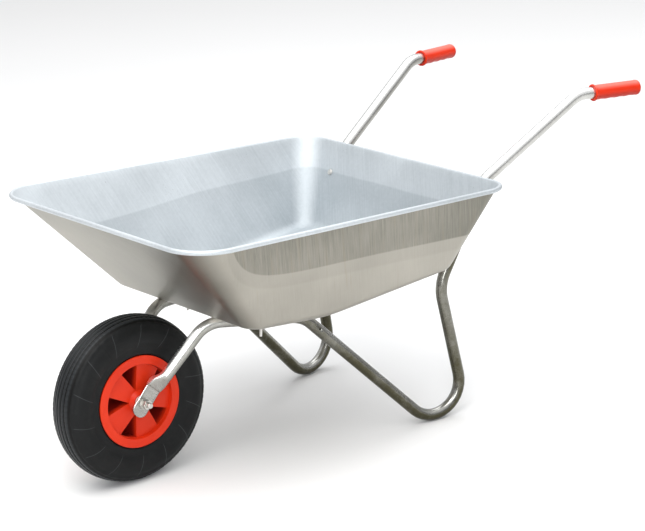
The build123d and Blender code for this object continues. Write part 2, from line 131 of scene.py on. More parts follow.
# ---------------------------------------------------------------- material helpers
class Graph:
    """The nodes of one material, with a short call for each kind that is used here."""

    # Streaks lean a little from straight up a wall: forwards on the sides, right on the ends.
    side_lean, end_lean = 0.35, 0.60

    def __init__(self, name):
        self.material = bpy.data.materials.new(name)
        self.material.use_nodes = True
        self.tree = self.material.node_tree
        self.shader = self.tree.nodes["Principled BSDF"]
        self.place = self.tree.nodes.new("ShaderNodeTexCoord").outputs["Object"]

    def join(self, value, socket):
        """Links a socket to another, or sets it to a number or colour."""
        if isinstance(value, bpy.types.NodeSocket):
            self.tree.links.new(value, socket)
        else:
            socket.default_value = value

    def stretched(self, x, y, z):
        """Object coordinates scaled along each axis."""
        node = self.tree.nodes.new("ShaderNodeMapping")
        node.inputs["Scale"].default_value = (x, y, z)
        self.join(self.place, node.inputs["Vector"])
        return node.outputs["Vector"]

    def down_walls(self, across, down):
        """Coordinates that run across and down the tray's walls, for streaks along their slope."""
        facing_side = self.ramp(self.math("ABSOLUTE", self.normal("X")), 0.35, 0.75)
        along_side = self.sum(self.axis("Y"), (self.axis("Z"), self.side_lean))
        along_end = self.sum(self.axis("X"), (self.axis("Z"), self.end_lean))
        sideways = self.sum(
            self.math("MULTIPLY", along_side, facing_side),
            self.math("MULTIPLY", along_end, self.sum(1.0, (facing_side, -1.0))))
        node = self.tree.nodes.new("ShaderNodeCombineXYZ")
        self.join(self.math("MULTIPLY", sideways, across), node.inputs["X"])
        self.join(self.math("MULTIPLY", self.axis("Z"), down), node.inputs["Y"])
        self.join(self.math("SIGN", self.axis("X")), node.inputs["Z"])
        return node.outputs["Vector"]

    def axis(self, letter, vector=None):
        """One coordinate of the place, or of another vector."""
        node = self.tree.nodes.new("ShaderNodeSeparateXYZ")
        self.join(self.place if vector is None else vector, node.inputs[0])
        return node.outputs[letter]

    def normal(self, letter):
        """One coordinate of the surface's own direction."""
        return self.axis(letter, self.tree.nodes.new("ShaderNodeNewGeometry").outputs["Normal"])

    def noise(self, scale, detail=3.0, roughness=0.5, vector=None):
        """Soft noise from 0 to 1."""
        node = self.tree.nodes.new("ShaderNodeTexNoise")
        self.join(self.place if vector is None else vector, node.inputs["Vector"])
        node.inputs["Scale"].default_value = scale
        node.inputs["Detail"].default_value = detail
        node.inputs["Roughness"].default_value = roughness
        return node.outputs["Fac"]

    def sum(self, *terms):
        """A sum of sockets and numbers, each given alone or with a factor."""
        total = None
        for term in terms:
            value, factor = term if isinstance(term, tuple) else (term, 1.0)
            node = self.tree.nodes.new("ShaderNodeMath")
            node.operation = "MULTIPLY_ADD"
            self.join(value, node.inputs[0])
            self.join(factor, node.inputs[1])
            self.join(0.0 if total is None else total, node.inputs[2])
            total = node.outputs[0]
        return total

    def ramp(self, value, low, high):
        """0 below low, 1 above high and smooth between them."""
        node = self.tree.nodes.new("ShaderNodeMapRange")
        node.interpolation_type = "SMOOTHSTEP"
        self.join(value, node.inputs["Value"])
        self.join(low, node.inputs["From Min"])
        self.join(high, node.inputs["From Max"])
        return node.outputs["Result"]

    def math(self, operation, first, second=0.0):
        """One operation on sockets or numbers."""
        node = self.tree.nodes.new("ShaderNodeMath")
        node.operation = operation
        self.join(first, node.inputs[0])
        self.join(second, node.inputs[1])
        return node.outputs[0]

    def mix(self, share, a, b):
        """A colour between a and b."""
        node = self.tree.nodes.new("ShaderNodeMix")
        node.data_type = "RGBA"
        self.join(share, node.inputs[0])
        self.join(a, node.inputs[6])
        self.join(b, node.inputs[7])
        return node.outputs[2]

    def bump(self, height, distance):
        """Relief from a height of 0 to 1, distance metres tall, on top of any set before."""
        node = self.tree.nodes.new("ShaderNodeBump")
        node.inputs["Strength"].default_value = 1.0
        node.inputs["Distance"].default_value = distance
        self.join(height, node.inputs["Height"])
        earlier = self.shader.inputs["Normal"].links
        if earlier:
            self.tree.links.new(earlier[0].from_socket, node.inputs["Normal"])
        self.tree.links.new(node.outputs["Normal"], self.shader.inputs["Normal"])

    def surface(self, colour, roughness, metallic=0.0, specular=0.5):
        """Sets the shader's colour, roughness, metallic share and gloss."""
        self.join(colour, self.shader.inputs["Base Color"])
        self.join(roughness, self.shader.inputs["Roughness"])
        self.shader.inputs["Metallic"].default_value = metallic
        self.shader.inputs["Specular IOR Level"].default_value = specular
        return self.material


def rgb(red, green, blue):
    """An opaque colour."""
    return (red, green, blue, 1.0)


# ---------------------------------------------------------------- materials
def sheet_inside():
    """The inside of the galvanised tray and its rolled edge: cool, bright and lightly streaked."""
    g = Graph("galvanised_inside")
    streaks = g.noise(1.0, 4.0, 0.7, g.down_walls(230, 7))
    clouds = g.noise(6.0, 4.0)
    spangle = g.noise(150.0, 2.0)
    # The sheet is lighter above a wavy line round its walls.
    line = g.sum(0.447, (g.noise(3.0, 1.0), 0.016))
    band = g.ramp(g.sum(g.axis("Z"), (line, -1.0)), -0.002, 0.003)
    # Painted shade: the inside is darker towards the rear.
    rear = g.ramp(g.axis("Y"), -0.1, 0.2)
    tone = g.sum((streaks, 0.54), (clouds, 0.63), (spangle, 0.2), (band, 0.22), (rear, -0.17), -0.28)
    colour = g.mix(tone, rgb(0.36, 0.395, 0.42), rgb(0.72, 0.755, 0.78))
    specks = g.ramp(g.noise(330.0, 2.0, 0.7), 0.70, 0.74)
    wear_and_highlight = g.ramp(g.noise(9.0, 3.0), 0.52, 0.66)
    marked = g.math("MULTIPLY", g.math("MULTIPLY", specks, wear_and_highlight), band)
    colour = g.mix(marked, colour, rgb(0.10, 0.10, 0.10))
    g.bump(clouds, 0.0012)
    g.bump(streaks, 0.00006)
    g.bump(spangle, 0.00004)
    return g.surface(colour, g.sum(0.50, (streaks, 0.14), (clouds, 0.14)), metallic=0.8)


def sheet_outside():
    """The outside of the tray: warmer and duller, streaked downwards and darker above two soft
    lines, with painted shade on its front, under the rim and towards the rear.
    """
    g = Graph("galvanised_outside")
    streaks = g.noise(1.0, 5.0, 0.72, g.down_walls(300, 9))
    fine = g.noise(1.0, 2.0, 0.6, g.down_walls(560, 16))
    clouds = g.noise(7.0, 4.0)
    along = g.axis("Y")
    wander = g.noise(2.4, 1.0)
    # Each line runs a little downhill to the rear, and curls up to the rim at the front.
    front_end, curl = -0.46, 22.0
    front = g.math("POWER", e, g.sum((along, -curl), curl * front_end))
    upper_line = g.sum(0.424, (along, -0.075), (front, 0.075), (wander, 0.012))
    lower_line = g.sum(upper_line, -0.030)
    height = g.axis("Z")
    upper = g.ramp(g.sum(height, (upper_line, -1.0)), -0.0015, 0.0025)
    lower = g.ramp(g.sum(height, (lower_line, -1.0)), -0.004, 0.004)
    # Painted shade under the rolled rim: the wall is darker near its top.
    under_rim_shade = g.ramp(height, 0.47, 0.55)
    streaked = g.math("MULTIPLY", g.sum(streaks, -0.5), g.sum(0.35, (upper, 1.1)))
    facing_front = g.ramp(g.normal("Y"), -0.3, -0.75)
    shade = g.math("MULTIPLY", facing_front, g.sum(0.26, (g.ramp(g.axis("X"), -0.3, 0.3), 0.42)))
    # Painted shade: the outside darkens towards the rear, most above the upper line.
    rear = g.ramp(along, 0.0, 0.26)
    upper_rear_shade = g.math("MULTIPLY", rear, upper)
    tone = g.sum(0.34, (streaked, 0.80), (fine, 0.16), (clouds, 0.55), (upper, -0.30),
                 (lower, -0.10), (under_rim_shade, -0.1), (shade, -1.0), (upper_rear_shade, -0.26),
                 (rear, -0.08))
    colour = g.mix(tone, rgb(0.20, 0.195, 0.165), rgb(0.47, 0.445, 0.395))
    runs = g.noise(1.0, 3.0, 0.6, g.down_walls(90, 4))
    stained = g.ramp(g.sum(runs, (upper, 0.10)), 0.60, 0.78)
    colour = g.mix(g.sum((stained, 0.3)), colour, rgb(0.30, 0.26, 0.19))
    g.bump(clouds, 0.0015)
    g.bump(streaks, 0.00008)
    g.bump(fine, 0.00004)
    roughness = g.sum(0.30, (streaks, 0.14), (upper, 0.12), (clouds, 0.08))
    return g.surface(colour, roughness, metallic=0.9)


def zinc_tube():
    """Bright zinc-plated tube with painted light: a painted reflection lightens it where it faces
    up, painted highlights lighten the handles and the fork, and it is left dark and brownish, as
    painted shade, where it faces down.
    """
    g = Graph("zinc_tube")
    clouds = g.noise(14.0, 4.0)
    scuffs = g.noise(90.0, 4.0, 0.7)
    grain = g.noise(700.0, 2.0)
    facing_up = g.ramp(g.normal("Z"), 0.0, 0.62)
    # Painted highlight: the handles, and the fork at 0.6 of their share, are lighter.
    handle, fork = g.ramp(g.axis("Z"), 0.40, 0.52), g.ramp(g.axis("Y"), -0.25, -0.36)
    # Painted shade: the right tube, on the far side, gets half the painted highlight of the left
    # one.
    right_tube_shade = g.sum(1.0, (g.ramp(g.axis("X"), 0.0, -0.04), -0.5))
    handle_fork_highlight = g.math("MULTIPLY", g.sum(handle, (fork, 0.6)), right_tube_shade)
    near_ground = g.ramp(g.axis("Z"), 0.28, 0.02)
    # Painted reflection of the bright light overhead: faces turned up are lighter, more so on the
    # handles and the fork.
    sky_reflection = g.math("MULTIPLY", facing_up, g.sum(0.42, (handle_fork_highlight, 0.45)))
    tone = g.sum(sky_reflection, (clouds, 0.32), (scuffs, 0.18), (grain, 0.1), (handle_fork_highlight, 0.40),
                 (near_ground, -0.09), -0.22)
    colour = g.mix(tone, rgb(0.075, 0.070, 0.044), rgb(0.97, 0.97, 0.95))
    spots = g.ramp(g.noise(240.0, 2.0, 0.6), 0.70, 0.75)
    colour = g.mix(g.sum((spots, 0.5)), colour, rgb(0.10, 0.085, 0.06))
    g.bump(clouds, 0.0006)
    g.bump(scuffs, 0.00005)
    return g.surface(colour, g.sum(0.16, (clouds, 0.12), (grain, 0.08)), metallic=0.95)


def zinc_fastener(name, light):
    """Plated bolts, nuts and washers, darker in patches."""
    g = Graph(name)
    clouds = g.noise(170.0, 3.0)
    grain = g.noise(1400.0, 2.0)
    tone = g.sum((clouds, 0.8), (grain, 0.3), -0.05)
    colour = g.mix(tone, rgb(0.30, 0.29, 0.26), rgb(light, light * 0.98, light * 0.94))
    g.bump(clouds, 0.0002)
    g.bump(grain, 0.00003)
    return g.surface(colour, g.sum(0.22, (clouds, 0.2)), metallic=0.95)


def red_plastic(name, gloss, moulding, recess_shade_within, top_highlight_share):
    """Orange-red moulded plastic with faint flow marks and a fine grain.

    It has painted shade near the barrow's middle, in the recessed hub and windows, painted shade on
    faces turned down, and a pale painted highlight on faces turned up, of a given share.
    """
    g = Graph(name)
    flow = g.noise(16.0, 3.0)
    grain = g.noise(1100.0, 2.0)
    # Painted shade in the recessed hub and windows near the barrow's middle.
    recess_shade_fade = 0.016
    recess_shade = g.ramp(g.math("ABSOLUTE", g.axis("X")), recess_shade_within, recess_shade_within - recess_shade_fade)
    dirt = g.ramp(g.noise(60.0, 4.0, 0.7), 0.62, 0.80)
    colour = g.mix(flow, rgb(0.56, 0.020, 0.004), rgb(0.70, 0.036, 0.006))
    colour = g.mix(g.sum((dirt, 0.22)), colour, rgb(0.34, 0.022, 0.014))
    colour = g.mix(g.sum((recess_shade, 0.75)), colour, rgb(0.12, 0.004, 0.006))
    # Painted shade on faces turned down.
    underside_shade = g.ramp(g.normal("Z"), 0.1, -0.6)
    colour = g.mix(g.sum((underside_shade, 0.65)), colour, rgb(0.26, 0.010, 0.004))
    # Painted highlight: a pale pink on faces turned up, of the given share.
    top_highlight = g.math("MULTIPLY", g.ramp(g.normal("Z"), 0.35, 0.95), g.sum(0.6, (flow, 0.5)))
    colour = g.mix(g.sum((top_highlight, top_highlight_share)), colour, rgb(0.80, 0.21, 0.17))
    g.bump(flow, 0.0004)
    g.bump(grain, moulding)
    roughness = g.sum(gloss, (flow, 0.10), (dirt, 0.15))
    return g.surface(colour, roughness, specular=0.22)


TYRE_RADIUS, TREAD_BOW = 175.0, 110.0
MOULD_LINES = 14


def tyre_rubber():
    """Black rubber in dusty patches, glossier on the ribs, with a bluish painted highlight on the
    rib tops and painted shade down in each groove.
    """
    g = Graph("tyre_rubber")
    dust = g.noise(34.0, 4.0, 0.65)
    grain = g.noise(1500.0, 2.0)
    across = g.axis("X")
    from_middle = g.math("ABSOLUTE", across)
    dusty = g.ramp(dust, 0.45, 0.8)
    colour = g.mix(dusty, rgb(0.0030, 0.0034, 0.0036), rgb(0.008, 0.0085, 0.0085))
    mould = g.noise(1.0, 2.0, 0.5, g.stretched(1400, 40, 40))
    colour = g.mix(g.sum((mould, 0.16)), colour, rgb(0.022, 0.024, 0.025))
    g.bump(grain, 0.00006)
    g.bump(dust, 0.0002)
    # Thin mould lines run out over both sidewalls.
    height, along = g.sum(g.axis("Z"), -axle.z), g.sum(g.axis("Y"), -axle.y)
    radius = g.math("SQRT", g.sum((height, height), (along, along)))
    turn = g.sum((g.math("ARCTAN2", height, along), MOULD_LINES / tau), (radius, 5.0))
    line = g.ramp(g.math("PINGPONG", turn, 0.5), 0.016, 0.006)
    wall = g.math("MULTIPLY", g.ramp(radius, 0.112, 0.120), g.ramp(radius, 0.164, 0.158))
    lined = g.math("MULTIPLY", line, wall)
    colour = g.mix(g.math("MULTIPLY", lined, 0.32), colour, rgb(0.09, 0.095, 0.10))
    # Depth is measured inwards from the bowed crown of the tread.
    bow = g.math("MULTIPLY", across, across)
    depth = g.sum(TYRE_RADIUS * MM, (radius, -1.0), (bow, -1 / (TREAD_BOW * MM)))
    tread = g.ramp(from_middle, 0.031, 0.029)
    # Painted highlight: the rib tops are lighter and bluish.
    wear_and_highlight = g.math("MULTIPLY", tread, g.ramp(depth, 0.0009, 0.0002))
    colour = g.mix(g.sum((wear_and_highlight, 0.55)), colour, rgb(0.030, 0.033, 0.036))
    # Painted shade: each groove's bottom is blacker.
    groove_shade = g.math("MULTIPLY", tread, g.ramp(depth, 0.0009, 0.0018))
    colour = g.mix(groove_shade, colour, rgb(0.001, 0.001, 0.001))
    crown = g.ramp(from_middle, 0.030, 0.022)
    roughness = g.sum(0.42, (dust, 0.16), (grain, 0.06), (crown, -0.16))
    return g.surface(colour, roughness, specular=0.20)


def plain_plastic(name, base, rough):
    """One plain moulded colour, with soft patches and a fine grain."""
    g = Graph(name)
    clouds = g.noise(120.0, 3.0)
    grain = g.noise(1600.0, 2.0)
    darker = rgb(base[0] * 0.7, base[1] * 0.7, base[2] * 0.7)
    colour = g.mix(clouds, darker, rgb(*base))
    g.bump(grain, 0.00004)
    return g.surface(colour, g.sum(rough, (clouds, 0.2)))


INSIDE = sheet_inside()
OUTSIDE = sheet_outside()
TUBE = zinc_tube()
FASTENER = zinc_fastener("zinc_fastener", 0.86)
WIRE = zinc_fastener("galvanised_wire", 0.66)
RIM_RED = red_plastic("rim_plastic", 0.34, 0.00003, 0.0285, 0.0)
GRIP_RED = red_plastic("grip_plastic", 0.36, 0.00009, 0.0, 0.8)
RUBBER = tyre_rubber()
CAP = plain_plastic("cap_plastic", (0.03, 0.03, 0.03), 0.35)
VALVE = plain_plastic("valve_rubber", (0.02, 0.02, 0.02), 0.5)
BUTYL = plain_plastic("tube_rubber", (0.03, 0.03, 0.03), 0.55)
SPACER = plain_plastic("spacer_plastic", (0.05, 0.05, 0.05), 0.4)
NYLON = plain_plastic("bush_plastic", (0.74, 0.74, 0.69), 0.35)

# ---------------------------------------------------------------- tray
# Half widths across, backs from the axle and heights are in millimetres, what is times MM is
# in metres, and the shares of FLOOR_RINGS run from the floor's middle to its edge.
SHEET = 1.0 * MM
BEAD = 5.0 * MM
TOP_INSET, TOP_RISE = 4.4, 2.6
RIM_FRONT_HALF, RIM_REAR_HALF = 357.0, 338.5
RIM_FRONT_BACK, RIM_REAR_BACK = -56.0, 768.0
RIM_FRONT_Z, RIM_REAR_Z = 558.5, 509.5
RIM_CORNERS = (88.0, 62.0)
BASE_Z = 300.0
BASE_FRONT_HALF, BASE_REAR_HALF = 230.8, 238.8
BASE_FRONT_BACK, BASE_REAR_BACK = 173.7, 656.3
BASE_CORNERS = (37.0, 35.0)
FLOOR_CORNER = 30.0 * MM
BEND_BACK, BEND_Z, BEND_REACH = 345.0, 308.06, 40.6
FRONT_SLOPE, REAR_SLOPE = -0.11888, 0.084
CORNER_STEPS, SIDE_STEPS = 18, 22
EDGE_STEPS, WALL_STEPS, FOOT_PASSES = 9, 16, 8
FLOOR_RINGS = (0.12, 0.3, 0.48, 0.64, 0.78, 0.9)
CURL_START, CURL_END, CURL_STEPS = radians(149), radians(-125), 22


def floor_height(y):
    """Height of the tray floor's underside, which bends across its middle."""
    past = (y - axle.y) / MM - BEND_BACK
    height = BEND_Z + past * (REAR_SLOPE if past > 0 else FRONT_SLOPE)
    inside_bend = max(0.0, BEND_REACH - abs(past))
    return (height + inside_bend ** 2 * (REAR_SLOPE - FRONT_SLOPE) / (4 * BEND_REACH)) * MM


def outline(front_half, rear_half, front, rear, front_radius, rear_radius):
    """Points round a four-sided outline with round corners, always the same number."""
    corners = [Vector(p) for p in ((-front_half, front), (front_half, front),
                                   (rear_half, rear), (-rear_half, rear))]
    radii = (front_radius, front_radius, rear_radius, rear_radius)
    arcs = [
        rounded_corner(corners[i - 1], corners[i], corners[(i + 1) % 4], radii[i], CORNER_STEPS)
        for i in range(4)
    ]
    points = []
    for i, corner in enumerate(arcs):
        points += corner
        start, end = corner[-1], arcs[(i + 1) % 4][0]
        points += [start.lerp(end, step / SIDE_STEPS) for step in range(1, SIDE_STEPS)]
    return points


rim_length = hypot(RIM_REAR_BACK - RIM_FRONT_BACK, RIM_FRONT_Z - RIM_REAR_Z)
rim_tilt = atan((RIM_FRONT_Z - RIM_REAR_Z) / (RIM_REAR_BACK - RIM_FRONT_BACK))
rim_origin = place(0, RIM_FRONT_BACK, RIM_FRONT_Z)
rim_along = Vector((0, cos(rim_tilt), -sin(rim_tilt)))
rim_normal = Vector((0, sin(rim_tilt), cos(rim_tilt)))


def rim_ring(inset, rise):
    """The rim's outline drawn in by inset and raised off its plane."""
    flat = outline(RIM_FRONT_HALF - inset, RIM_REAR_HALF - inset, inset, rim_length - inset,
                   RIM_CORNERS[0] - inset, RIM_CORNERS[1] - inset)
    lift = rim_origin + rim_normal * rise * MM
    return [lift + Vector((p.x, 0, 0)) * MM + rim_along * p.y * MM for p in flat]


def wall_foot(base, top):
    """Where a wall's line from top to base meets the floor, found by closer and closer passes."""
    along = (top - base).normalized()
    foot = base.copy()
    for _ in range(FOOT_PASSES):
        foot = base + along * (floor_height(foot.y) + SHEET - base.z) / along.z
    return foot


def make_tray():
    """The pressed tray as one sheet, from the floor's middle up the walls and round the curl."""
    top = rim_ring(TOP_INSET, TOP_RISE)
    bead = rim_ring(0, 0)
    base = [place(p.x, p.y, BASE_Z) for p in outline(
        BASE_FRONT_HALF, BASE_REAR_HALF, BASE_FRONT_BACK, BASE_REAR_BACK, *BASE_CORNERS)]
    feet = [wall_foot(b, t) for b, t in zip(base, top)]
    count = len(feet)

    columns = []
    for i, foot in enumerate(feet):
        up_wall = (top[i] - foot).normalized()
        side = feet[(i + 1) % count] - feet[i - 1]
        inwards = Vector((-side.y, side.x, 0)).normalized()
        slope = (floor_height(foot.y + 0.01) - floor_height(foot.y - 0.01)) / 0.02
        inwards.z = slope * inwards.y
        inwards.normalize()
        edge = rounded_corner(foot + inwards, foot, foot + up_wall, FLOOR_CORNER, EDGE_STEPS)
        wall = [edge[-1].lerp(top[i], step / WALL_STEPS) for step in range(1, WALL_STEPS)]
        outwards = (bead[i] - top[i]) + rim_normal * TOP_RISE * MM
        outwards.normalize()
        curl = []
        for step in range(CURL_STEPS + 1):
            turn = CURL_START + (CURL_END - CURL_START) * step / CURL_STEPS
            curl.append(bead[i] + (outwards * cos(turn) + rim_normal * sin(turn)) * BEAD)
        columns.append(edge + wall + curl)

    middle = Vector((0, sum(f.y for f in feet) / count, 0))
    rows = []
    for share in FLOOR_RINGS:
        ring = []
        for column in columns:
            point = middle.lerp(Vector((column[0].x, column[0].y, 0)), share)
            point.z = floor_height(point.y) + SHEET
            ring.append(point)
        rows.append(ring)
    rows += [list(row) for row in zip(*columns)]
    points, faces = grid(rows)
    middle.z = floor_height(middle.y) + SHEET
    points.append(middle)
    faces += [(len(points) - 1, (i + 1) % count, i) for i in range(count)]

    faces = [tuple(reversed(face)) for face in faces]
    tray = add_piece("tray_sheet", points, faces, [INSIDE, OUTSIDE])
    lowest = min(tray.data.polygons, key=lambda face: face.center.z)
    if lowest.normal.z < 0:
        tray.data.flip_normals()
    thick = tray.modifiers.new("thickness", "SOLIDIFY")
    thick.thickness = SHEET
    thick.offset = -1
    thick.use_even_offset = True
    thick.material_offset = 1
    settle(tray)
    return finish_piece(tray, "frame", "galvanised_sheet", "tray")


# ---------------------------------------------------------------- frame tubes
TUBE_RADIUS = 12.5 * MM
PLATE_HALF_WIDTH, PLATE_HALF_THICKNESS = 18.5 * MM, 1.5 * MM
PLATE_X = 52.0
PLATE_BELOW, PLATE_ABOVE = 30.0 * MM, 36.0 * MM
PLATE_ROUND = 15.5 * MM
PLATE_SQUARENESS = 0.35
PLATE_HEIGHTS = (-8, 4, 16, 27, 33, 35.6)
EDGE_ROLL, EDGE_ROLL_WIDTH = 0.9 * MM, 2.3 * MM
RING_STEPS, PLATE_STEPS, SQUEEZE_STEPS, BEND_STEPS, TIP_STEPS = 56, 10, 18, 14, 5
STRAIGHT_STEP = 0.03
# The left tube's corners, across, back from the axle and up, and the radii that round the ones
# between its ends. The foot's corner is below the ground, which its arc just reaches.
TUBE_FRONT = (68.6, 50.3, 226.4)
FORK_TOP = (89.0, 142.0, 319.3)
RUN_END = (157.4, 338.0, 296.0)
FOOT = (237.4, 725.0, -122.3)
LEG_TOP = (212.0, 664.5, 293.0)
HANDLE_START = (229.5, 783.0, 497.0)
HANDLE_BEND = (274.7, 1028.5, 645.0)
HANDLE_END = (304.0, 1181.5, 636.0)
TUBE_CORNERS = (TUBE_FRONT, FORK_TOP, RUN_END, FOOT, LEG_TOP, HANDLE_START, HANDLE_BEND, HANDLE_END)
TUBE_BENDS = (70.0, 62.0, 67.0, 88.0, 85.0, 62.0)
# The grip is measured from its open end. The tube stops GRIP_END short of the grip's far end.
GRIP_LENGTH, GRIP_DEPTH, GRIP_END = 119.0, 60.0, 4.0
GRIP_STEPS, GRIP_BODY = 56, 16.0
WAVE_PITCH, WAVE_HEIGHT = 24.5, 0.45
GRIP_RIB_PITCH, GRIP_RIB_HEIGHT = 4.0, 0.12
VENT_SHARE, VENT_RADIUS, VENT_DEPTH = 0.073, 2.5 * MM, 9.0 * MM


def side_points(side):
    """The tube's corners on the left (side 1) or the right (side -1)."""
    return [place(x * side, back, z) for x, back, z in TUBE_CORNERS]


def tube_route(side):
    """Points along the tube from its round front end to the grip, with arcs at its corners."""
    corners = side_points(side)
    route = [corners[0]]
    for i, radius in enumerate(TUBE_BENDS):
        bend = rounded_corner(*corners[i:i + 3], radius * MM, BEND_STEPS)
        run = (bend[0] - route[-1]).length
        pieces = max(1, round(run / STRAIGHT_STEP))
        route += [route[-1].lerp(bend[0], step / pieces) for step in range(1, pieces)]
        route += bend
    tip = corners[-1] - (corners[-1] - corners[-2]).normalized() * GRIP_END * MM
    route += [route[-1].lerp(tip, step / TIP_STEPS) for step in range(1, TIP_STEPS + 1)]
    return route


def ring_at(centre, along, across, half_width, half_thickness, squareness, roll=0.0):
    """A ring across the tube; across is the direction of its width, and roll swells its edges."""
    across = (across - along * across.dot(along)).normalized()
    thick = along.cross(across)
    ring = []
    for step in range(RING_STEPS):
        turn = tau * step / RING_STEPS
        c, s = cos(turn), sin(turn)
        wide = half_width * abs(c) ** squareness * (1 if c > 0 else -1)
        tall = half_thickness * abs(s) ** squareness * (1 if s > 0 else -1)
        edge = max(0.0, 1 - ((half_width - abs(wide)) / EDGE_ROLL_WIDTH - 1) ** 2)
        tall += roll * sqrt(edge) * (1 if s > 0 else -1)
        ring.append(centre + across * wide + thick * tall)
    return ring


def flattened_end(side, start, along):
    """Rings from the plate's round lower end, up past the axle and out to the round tube."""
    rise = Vector((0, start.y - axle.y, start.z - axle.z)).normalized()
    sideways = Vector((0, -rise.z, rise.y))
    axle_point = Vector((side * PLATE_X * MM, axle.y, axle.z))
    rings = []
    for step in range(PLATE_STEPS + 1):
        share = step / PLATE_STEPS
        down = PLATE_ROUND * (1 - cos(pi / 2 * share))
        cut = PLATE_ROUND - sqrt(max(0.0, PLATE_ROUND ** 2 - (PLATE_ROUND - down) ** 2))
        rings.append(ring_at(
            axle_point + rise * (down - PLATE_BELOW), rise, sideways, PLATE_HALF_WIDTH - cut,
            PLATE_HALF_THICKNESS, PLATE_SQUARENESS, EDGE_ROLL * share))
    for height in PLATE_HEIGHTS:
        rings.append(ring_at(
            axle_point + rise * height * MM, rise, sideways, PLATE_HALF_WIDTH,
            PLATE_HALF_THICKNESS, PLATE_SQUARENESS, EDGE_ROLL))
    flat_top = axle_point + rise * PLATE_ABOVE
    for step in range(SQUEEZE_STEPS):
        share = step / SQUEEZE_STEPS
        swell = 0.24 + 0.76 * (1 - (1 - share) ** 2.2)
        late = max(0.0, share - 0.3) / 0.7
        ease = late * late * (3 - 2 * late)
        centre = flat_top.lerp(start, share)
        centre.x = flat_top.x + (start.x - flat_top.x) * (0.35 * share + 0.65 * ease)
        direction = rise.lerp(along, share).normalized()
        width = PLATE_HALF_WIDTH + (TUBE_RADIUS - PLATE_HALF_WIDTH) * ease
        thickness = PLATE_HALF_THICKNESS + (TUBE_RADIUS - PLATE_HALF_THICKNESS) * swell
        squareness = PLATE_SQUARENESS + (1 - PLATE_SQUARENESS) * ease
        rings.append(ring_at(centre, direction, sideways, width, thickness, squareness))
    return rings


def drilled_hole(centre, axis):
    """A short round cutter for the vent."""
    shape = bmesh.new()
    bmesh.ops.create_cone(shape, cap_ends=True, segments=24, radius1=VENT_RADIUS,
                          radius2=VENT_RADIUS, depth=VENT_DEPTH)
    mesh = bpy.data.meshes.new("cutter")
    shape.to_mesh(mesh)
    shape.free()
    cutter = bpy.data.objects.new("cutter", mesh)
    cutter.location = centre
    cutter.rotation_mode = "QUATERNION"
    cutter.rotation_quaternion = axis.to_track_quat("Z", "Y")
    SCENE.collection.objects.link(cutter)
    return cutter


def make_tube(side, name):
    """One bent frame tube, squeezed flat at the axle, with its vent hole."""
    route = tube_route(side)
    along = [(route[min(i + 1, len(route) - 1)] - route[max(i - 1, 0)]).normalized()
             for i in range(len(route))]
    rings = flattened_end(side, route[0], along[0])
    sideways = Vector((0, -(route[0].z - axle.z), route[0].y - axle.y)).normalized()
    for centre, direction in zip(route, along):
        sideways = (sideways - direction * sideways.dot(direction)).normalized()
        rings.append(ring_at(centre, direction, sideways, TUBE_RADIUS, TUBE_RADIUS, 1.0))
    points, faces = grid(rings, caps=True)
    tube = face_outwards(add_piece(name + "_bent", points, faces, [TUBE]))

    corners = side_points(side)
    vent = corners[2].lerp(corners[3], VENT_SHARE)
    cutter = drilled_hole(vent + Vector((side * TUBE_RADIUS, 0, 0)), Vector((1, 0, 0)))
    cut = tube.modifiers.new("vent", "BOOLEAN")
    cut.operation = "DIFFERENCE"
    cut.object = cutter
    settle(tube)
    bpy.data.objects.remove(cutter)
    return finish_piece(tube, "frame", "zinc_tube", name)


def make_grip(side, name):
    """A soft plastic grip: a flange at its open end, finger waves below and a round end."""
    corners = side_points(side)
    tip = corners[-1]
    axis = (corners[-1] - corners[-2]).normalized()
    across = axis.cross(Vector((0, 0, 1))).normalized()
    upwards = across.cross(axis)
    # Distance from the open end and radius: the flange, the body and the round end.
    profile = [(0.0, 12.65), (0.0, 17.2), (0.8, 18.2), (2.2, 18.5), (3.6, 18.1), (4.6, 16.8),
               (6.0, 16.1)]
    profile += [(10.0 + 2.0 * step, GRIP_BODY) for step in range(48)]
    profile += [(107.5, GRIP_BODY), (109.0, 16.45), (112.0, 16.5), (114.5, 16.0), (116.6, 14.6),
                (118.2, 12.0), (118.9, 8.0), (GRIP_LENGTH, 3.0)]
    mouth = tip - axis * GRIP_LENGTH * MM
    rings = []
    for distance, radius in profile:
        centre = mouth + axis * distance * MM
        # The waves and ribs rise from nothing at both ends of the body.
        hold = max(0.0, min(1.0, (distance - 8) / 10, (106 - distance) / 10))
        ring = []
        for step in range(GRIP_STEPS):
            turn = tau * step / GRIP_STEPS
            below = max(0.0, -sin(turn)) ** 2
            wave = WAVE_HEIGHT * cos(tau * (distance - 8) / WAVE_PITCH) * below * hold
            rib = GRIP_RIB_HEIGHT * cos(tau * distance / GRIP_RIB_PITCH) * hold
            size = (radius + wave + rib * (1 - below)) * MM
            ring.append(centre + (across * cos(turn) + upwards * sin(turn)) * size)
        rings.append(ring)
    # The first ring is the bottom of the bore that the tube is pushed into.
    rings.insert(0, [point + axis * GRIP_DEPTH * MM for point in rings[0]])
    points, faces = grid(rings, caps=True)
    grip = face_outwards(add_piece(name + "_sleeve", points, faces, [GRIP_RED]))
    return finish_piece(grip, "frame", "grip_plastic", name)


# ---------------------------------------------------------------- wheel
TYRE_COLUMNS = 384
HALF_RIBS, RIB_PITCH, RIB_GROOVE, GROOVE_DEPTH = 3, 9.0, 1.5, 2.3
NOTCH_EVERY, LINE_EVERY = 4, 32


def tread_radius(x):
    """Radius of the tyre's crown at a distance from its middle, in millimetres."""
    return TYRE_RADIUS - x * x / TREAD_BOW


